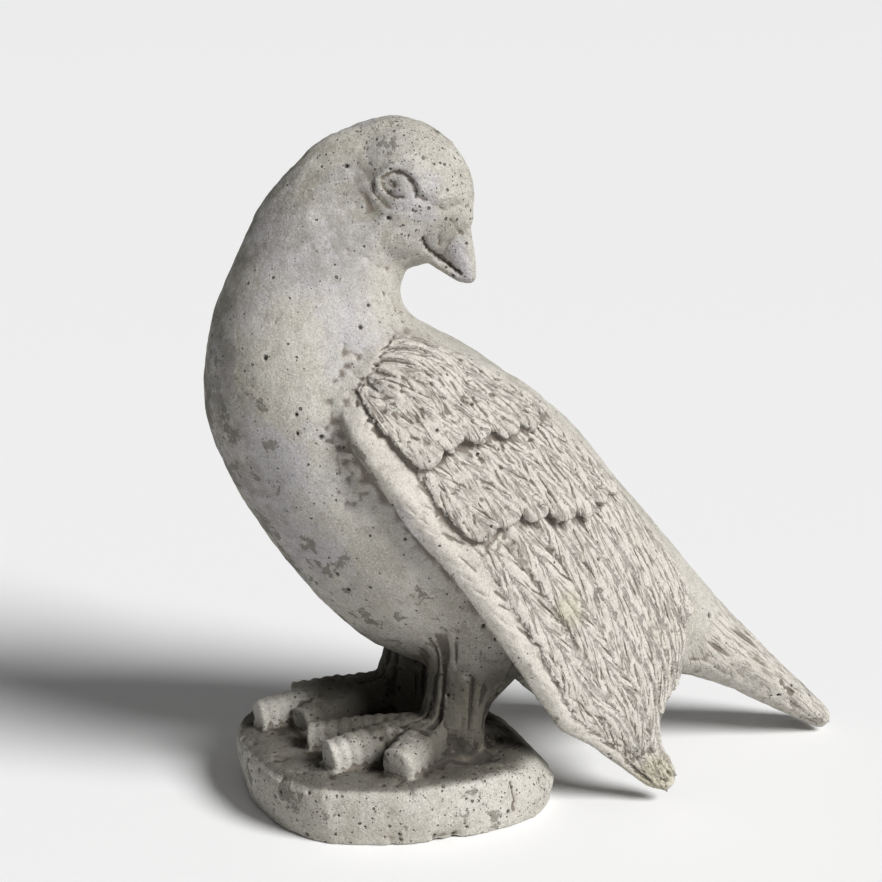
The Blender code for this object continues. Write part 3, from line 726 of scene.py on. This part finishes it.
def pit_tree(material):
    """A node tree that sinks round pits into a skin, where its pitting share allows them."""
    tree = bpy.data.node_groups.new("air_bubbles", "GeometryNodeTree")
    tree.interface.new_socket("Geometry", in_out="INPUT", socket_type="NodeSocketGeometry")
    for name in PITS:
        tree.interface.new_socket(name, in_out="INPUT", socket_type="NodeSocketFloat")
    tree.interface.new_socket("Geometry", in_out="OUTPUT", socket_type="NodeSocketGeometry")
    nodes = tree.nodes
    link = tree.links.new
    given = nodes.new("NodeGroupInput")
    result = nodes.new("NodeGroupOutput")
    where = nodes.new("GeometryNodeInputPosition")
    moved = nodes.new("ShaderNodeVectorMath")
    moved.operation = "ADD"
    link(where.outputs[0], moved.inputs[0])
    link(given.outputs["Seed"], moved.inputs[1])
    cells = nodes.new("ShaderNodeTexVoronoi")
    link(moved.outputs[0], cells.inputs["Vector"])
    link(given.outputs["Cells per metre"], cells.inputs["Scale"])
    chance = nodes.new("FunctionNodeSeparateColor")
    link(cells.outputs["Color"], chance.inputs[0])
    share = nodes.new("GeometryNodeInputNamedAttribute")
    share.data_type = "FLOAT"
    share.inputs["Name"].default_value = "pitting"
    allowed = math_node(tree, "LESS_THAN", chance.outputs[0], share.outputs["Attribute"])
    reach = math_node(tree, "MULTIPLY", given.outputs["Largest pit"], chance.outputs[1])
    reach = math_node(tree, "MAXIMUM", reach, SMALLEST_PIT)
    closeness = math_node(tree, "DIVIDE", cells.outputs["Distance"], reach)
    bowl = nodes.new("ShaderNodeMapRange")
    bowl.interpolation_type = "SMOOTHSTEP"
    link(closeness, bowl.inputs["Value"])
    bowl.inputs["From Min"].default_value = PIT_WALL[0]
    bowl.inputs["From Max"].default_value = PIT_WALL[1]
    bowl.inputs["To Min"].default_value = 0.0
    bowl.inputs["To Max"].default_value = 1.0
    pit = math_node(tree, "MULTIPLY", bowl.outputs["Result"], allowed)
    deep = math_node(tree, "MULTIPLY", pit, given.outputs["Depth"])
    deep = math_node(tree, "MULTIPLY", deep, -1.0)
    outward = nodes.new("GeometryNodeInputNormal")
    offset = nodes.new("ShaderNodeVectorMath")
    offset.operation = "SCALE"
    link(outward.outputs[0], offset.inputs[0])
    link(deep, offset.inputs["Scale"])
    keep = nodes.new("GeometryNodeStoreNamedAttribute")
    keep.data_type = "FLOAT"
    keep.domain = "POINT"
    keep.inputs["Name"].default_value = "pit"
    link(given.outputs["Geometry"], keep.inputs["Geometry"])
    link(pit, keep.inputs["Value"])
    sink = nodes.new("GeometryNodeSetPosition")
    link(keep.outputs[0], sink.inputs["Geometry"])
    link(offset.outputs[0], sink.inputs["Offset"])
    whole = nodes.new("GeometryNodeRealizeInstances")
    link(sink.outputs[0], whole.inputs[0])
    dress = nodes.new("GeometryNodeSetMaterial")
    dress.inputs["Material"].default_value = material
    link(whole.outputs[0], dress.inputs[0])
    link(dress.outputs[0], result.inputs[0])
    return tree


MOST_TRIANGLES = 197000
cement = bpy.data.materials.new("weathered_cement")
bubbles = figurine.modifiers.new("bubbles", "NODES")
bubbles.node_group = pit_tree(cement)
for socket in bubbles.node_group.interface.items_tree:
    if socket.name in PITS:
        bubbles[socket.identifier] = PITS[socket.name]
apply_modifiers(figurine)


def triangle_count(mesh):
    """How many triangles the mesh's faces make."""
    sizes = np.empty(len(mesh.polygons), np.int32)
    mesh.polygons.foreach_get("loop_total", sizes)
    return int((sizes - 2).sum())


thinner = figurine.modifiers.new("thinner", "DECIMATE")
thinner.ratio = MOST_TRIANGLES / triangle_count(figurine.data)
apply_modifiers(figurine)
points = points_of(figurine.data)
points[:, 2] = np.maximum(points[:, 2], 0)
move_points(figurine.data, points)
figurine.data.shade_smooth()

NARROW_HOLLOW = (10, 0.0004)
WIDE_HOLLOW = (70, 0.0016)
for name, (rounds, depth) in (("hollow", NARROW_HOLLOW), ("wide_hollow", WIDE_HOLLOW)):
    inward = (relaxed(figurine.data, points, rounds) - points) * normals_of(figurine.data)
    add_share(figurine.data, name, np.clip(inward.sum(1) / depth, -1, 1))

# The cement itself: pale warm grey, with sand in it, dark open pores, damp dark places under the body, flat
# dark stains and grey-brown dirt. Shade is painted into these colours too: inside the pores, under the body,
# on the side that faces away from the key and on the back of the neck. The colours are laid over each other
# in the order of the
# real ones: cement, sand, weather, dirt, stains, pores.
CEMENT_DARK = (0.39, 0.37, 0.32)
CEMENT_LIGHT = (0.50, 0.48, 0.435)
WORN_FEATHERS = (0.60, 0.56, 0.505)
COOL_BREAST = (0.42, 0.40, 0.44)
CREAM = (0.50, 0.45, 0.31)
SAND_LIGHT = (0.62, 0.60, 0.55)
SAND_DARK = (0.20, 0.185, 0.155)
SPECKS = (0.25, 0.232, 0.195)
WEATHERING_AND_SHADE = (0.150, 0.142, 0.112)
DAMP_AND_SHADOW = (0.062, 0.056, 0.043)
GRIME = (0.150, 0.125, 0.100)
SHADOWED_GRIME = (0.030, 0.027, 0.022)
SCORED = (0.17, 0.14, 0.11)
STAIN_AND_SHADE = (0.140, 0.130, 0.104)
PORE_EDGES = (0.58, 0.56, 0.51)
PORE_SHADE = (0.055, 0.048, 0.041)
SOOT = (0.035, 0.031, 0.026)
LARGE_PORES = 430
SMALL_PORES = 950
BUMP_DEPTH = 0.0009
cement.use_nodes = True
tree = cement.node_tree
shader = tree.nodes["Principled BSDF"]
shader.inputs["Roughness"].default_value = 0.9
shader.inputs["Specular IOR Level"].default_value = 0.25
coordinates = tree.nodes.new("ShaderNodeTexCoord").outputs["Object"]


def noise(tree, scale, detail=4.0, roughness=0.6):
    """The value of a noise of so many waves to the metre."""
    node = tree.nodes.new("ShaderNodeTexNoise")
    node.inputs["Scale"].default_value = scale
    node.inputs["Detail"].default_value = detail
    node.inputs["Roughness"].default_value = roughness
    tree.links.new(coordinates, node.inputs["Vector"])
    return node.outputs[0]


def between(tree, value, low, high):
    """The value stretched so that low becomes 0 and high becomes 1, with nothing outside."""
    node = tree.nodes.new("ShaderNodeMapRange")
    node.interpolation_type = "SMOOTHSTEP"
    tree.links.new(value, node.inputs["Value"])
    node.inputs["From Min"].default_value = low
    node.inputs["From Max"].default_value = high
    return node.outputs["Result"]


def blend(tree, share, first, second):
    """The first colour turning to the second as the share goes from 0 to 1."""
    node = tree.nodes.new("ShaderNodeMix")
    node.data_type = "RGBA"
    tree.links.new(share, node.inputs["Factor"])
    for socket, value in ((node.inputs["A"], first), (node.inputs["B"], second)):
        if isinstance(value, tuple):
            socket.default_value = (*value, 1)
        else:
            tree.links.new(value, socket)
    return node.outputs["Result"]


def share_of(tree, name):
    """One of the numbers kept for the mesh's points."""
    node = tree.nodes.new("ShaderNodeAttribute")
    node.attribute_name = name
    return node.outputs["Fac"]


def times(tree, value, factor):
    """A value multiplied by another one or by a number."""
    return math_node(tree, "MULTIPLY", value, factor)


def pores(tree, per_metre, widest, allowed):
    """1 in ragged pores and 0 outside them: so many cells to the metre, of which a share holds a pore."""
    node = tree.nodes.new("ShaderNodeTexVoronoi")
    node.inputs["Scale"].default_value = per_metre
    tree.links.new(coordinates, node.inputs["Vector"])
    chance = tree.nodes.new("ShaderNodeSeparateColor")
    tree.links.new(node.outputs["Color"], chance.inputs[0])
    reach = math_node(tree, "MAXIMUM", times(tree, chance.outputs[1], widest), 0.3 * widest)
    ragged = times(tree, math_node(tree, "SUBTRACT", noise(tree, 1.6 * per_metre, 3.0), 0.5), 0.55)
    closeness = math_node(tree, "DIVIDE", math_node(tree, "ADD", node.outputs["Distance"], ragged), reach)
    chosen = math_node(tree, "LESS_THAN", chance.outputs[0], allowed)
    return times(tree, between(tree, closeness, 1.0, 0.6), chosen)


def along_streaks(tree, along, across):
    """A noise drawn out along the scoring of the feathers."""
    way = tree.nodes.new("ShaderNodeAttribute")
    way.attribute_name = "streak_way"
    stretch = tree.nodes.new("ShaderNodeVectorMath")
    stretch.operation = "MULTIPLY"
    stretch.inputs[1].default_value = (along, across, 100.0)
    tree.links.new(way.outputs["Vector"], stretch.inputs[0])
    node = tree.nodes.new("ShaderNodeTexNoise")
    node.inputs["Scale"].default_value = 1.0
    node.inputs["Detail"].default_value = 3.0
    tree.links.new(stretch.outputs[0], node.inputs["Vector"])
    return node.outputs[0]


pitted = share_of(tree, "pitting")
open_pores = pores(tree, LARGE_PORES, 0.34, pitted)
small_pores = pores(tree, SMALL_PORES, 0.36, times(tree, pitted, 0.8))
open_pores = math_node(tree, "MAXIMUM", open_pores, small_pores)
pore_edges = pores(tree, LARGE_PORES, 0.52, pitted)
open_pores = math_node(tree, "MAXIMUM", open_pores, share_of(tree, "pit"))

colour = blend(tree, between(tree, noise(tree, 45, 5.0, 0.65), 0.35, 0.65), CEMENT_DARK, CEMENT_LIGHT)
colour = blend(tree, times(tree, share_of(tree, "streaks"), 0.6), colour, WORN_FEATHERS)
cool = times(tree, between(tree, noise(tree, 28, 3.0), 0.45, 0.62), share_of(tree, "cool"))
colour = blend(tree, times(tree, cool, 0.7), colour, COOL_BREAST)
colour = blend(tree, times(tree, share_of(tree, "cream"), 0.55), colour, CREAM)

sand = noise(tree, 1500, 2.0, 0.6)
colour = blend(tree, times(tree, between(tree, sand, 0.52, 0.66), 0.5), colour, SAND_LIGHT)
colour = blend(tree, times(tree, between(tree, sand, 0.46, 0.34), 0.4), colour, SAND_DARK)
specks = between(tree, noise(tree, 240, 5.0, 0.7), 0.5, 0.66)
colour = blend(tree, times(tree, specks, 0.4), colour, SPECKS)

# Mottled painted shade on the forward-facing side and the back of the neck, and weathering round the eye and
# the mouth.
weathering_and_shade = times(tree, share_of(tree, "aged_and_shaded"), between(tree, noise(tree, 110, 8.0, 0.75), 0.30, 0.62))
colour = blend(tree, times(tree, weathering_and_shade, 0.75), colour, WEATHERING_AND_SHADE)
# Painted shadow under the body and on the base's top, blotched as damp.
damp_and_shadow = times(tree, share_of(tree, "damp_and_shadow"), between(tree, noise(tree, 60, 4.0), 0.1, 0.45))
colour = blend(tree, times(tree, damp_and_shadow, 0.92), colour, DAMP_AND_SHADOW)

grime = math_node(tree, "ADD", share_of(tree, "hollow"), times(tree, share_of(tree, "wide_hollow"), 0.4))
grime = math_node(tree, "ADD", grime, times(tree, share_of(tree, "dirt"), 0.9))
grime = math_node(tree, "ADD", grime, times(tree, noise(tree, 170, 6.0, 0.7), 1.1))
grime = between(tree, grime, 0.75, 1.7)
colour = blend(tree, times(tree, grime, 0.85), colour, GRIME)
# The grime is darkened further within the painted shadow under the body.
colour = blend(tree, times(tree, times(tree, grime, 0.9), damp_and_shadow), colour, SHADOWED_GRIME)
scoring = between(tree, along_streaks(tree, 110, 800), 0.52, 0.66)
scoring = times(tree, scoring, share_of(tree, "streaks"))
colour = blend(tree, times(tree, scoring, 0.5), colour, SCORED)

# Flat dark patches: real stains, and painted shade on the forward-facing side and on the underside.
stain_and_shade_patches = math_node(tree, "ADD", noise(tree, 95, 8.0, 0.68), times(tree, share_of(tree, "stains_and_shade"), 0.205))
colour = blend(tree, times(tree, between(tree, stain_and_shade_patches, 0.70, 0.715), 0.72), colour, STAIN_AND_SHADE)
pore_edges = times(tree, pore_edges, math_node(tree, "SUBTRACT", 1.0, damp_and_shadow))
colour = blend(tree, times(tree, pore_edges, 0.4), colour, PORE_EDGES)
# The pores are painted near black: the shade inside them.
colour = blend(tree, times(tree, open_pores, 0.85), colour, PORE_SHADE)
soot = times(tree, between(tree, share_of(tree, "dirt"), 0.6, 1.0), 0.75)
off_wing = math_node(tree, "SUBTRACT", 1.0, times(tree, share_of(tree, "streaks"), 0.7))
colour = blend(tree, times(tree, soot, off_wing), colour, SOOT)
tree.links.new(colour, shader.inputs["Base Color"])
grains = times(tree, noise(tree, 700, 5.0, 0.7), 0.6)
depth = math_node(tree, "ADD", grains, times(tree, noise(tree, 260, 4.0, 0.7), 0.7))
depth = math_node(tree, "SUBTRACT", depth, open_pores)
depth = math_node(tree, "SUBTRACT", depth, times(tree, scoring, 0.9))
bump = tree.nodes.new("ShaderNodeBump")
bump.inputs["Distance"].default_value = BUMP_DEPTH
bump.inputs["Strength"].default_value = 0.9
tree.links.new(depth, bump.inputs["Height"])
tree.links.new(bump.outputs[0], shader.inputs["Normal"])
figurine.data.materials.clear()
figurine.data.materials.append(cement)

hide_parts("pigeon_figurine")
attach(figurine, "root")

# The floor and the light: a plain pale floor and soft studio light, the key from the upper right. The
# colours are shown as they are, without a film-like curve, so that the floor stays near white.
KEY_FROM = Vector((0.42, -0.68, 0.60))
KEY_STRENGTH = 4.2
KEY_SOFTNESS = math.radians(26)
ROOM_STRENGTH = 0.14


def add_floor():
    """A pale floor under the figurine."""
    bpy.ops.mesh.primitive_plane_add(size=60, location=(0, 0, -0.0002))
    floor = bpy.context.object
    floor.name = "floor"
    material = bpy.data.materials.new("pale_floor")
    material.use_nodes = True
    pale = material.node_tree.nodes["Principled BSDF"]
    pale.inputs["Base Color"].default_value = (0.93, 0.93, 0.93, 1)
    pale.inputs["Roughness"].default_value = 0.9
    floor.data.materials.append(material)


add_floor()
key = bpy.data.lights.new("key", "SUN")
key.energy = KEY_STRENGTH
key.angle = KEY_SOFTNESS
key_holder = bpy.data.objects.new("key", key)
bpy.context.scene.collection.objects.link(key_holder)
key_holder.rotation_euler = KEY_FROM.to_track_quat("Z", "Y").to_euler()
world = bpy.data.worlds.new("studio")
bpy.context.scene.world = world
world.use_nodes = True
world.node_tree.nodes["Background"].inputs["Color"].default_value = (1, 1, 1, 1)
world.node_tree.nodes["Background"].inputs["Strength"].default_value = ROOM_STRENGTH
bpy.context.scene.view_settings.view_transform = "Standard"

# The camera stands at the photograph's angle, a little to the bird's front and a little above it.
CAMERA_AZIMUTH = math.radians(-20)
CAMERA_HEIGHT_ANGLE = math.radians(13.4)
CAMERA_DISTANCE = 0.821
CAMERA_TARGET = Vector((0.0203, 0, 0.1336))
lens = bpy.data.cameras.new("camera")
lens.lens = 90
lens.sensor_width = 36
camera = bpy.data.objects.new("camera", lens)
bpy.context.scene.collection.objects.link(camera)
back = Vector((
    math.sin(CAMERA_AZIMUTH) * math.cos(CAMERA_HEIGHT_ANGLE),
    -math.cos(CAMERA_AZIMUTH) * math.cos(CAMERA_HEIGHT_ANGLE),
    math.sin(CAMERA_HEIGHT_ANGLE),
))
camera.location = CAMERA_TARGET + back * CAMERA_DISTANCE
camera.rotation_euler = back.to_track_quat("Z", "Y").to_euler()
bpy.context.scene.camera = camera
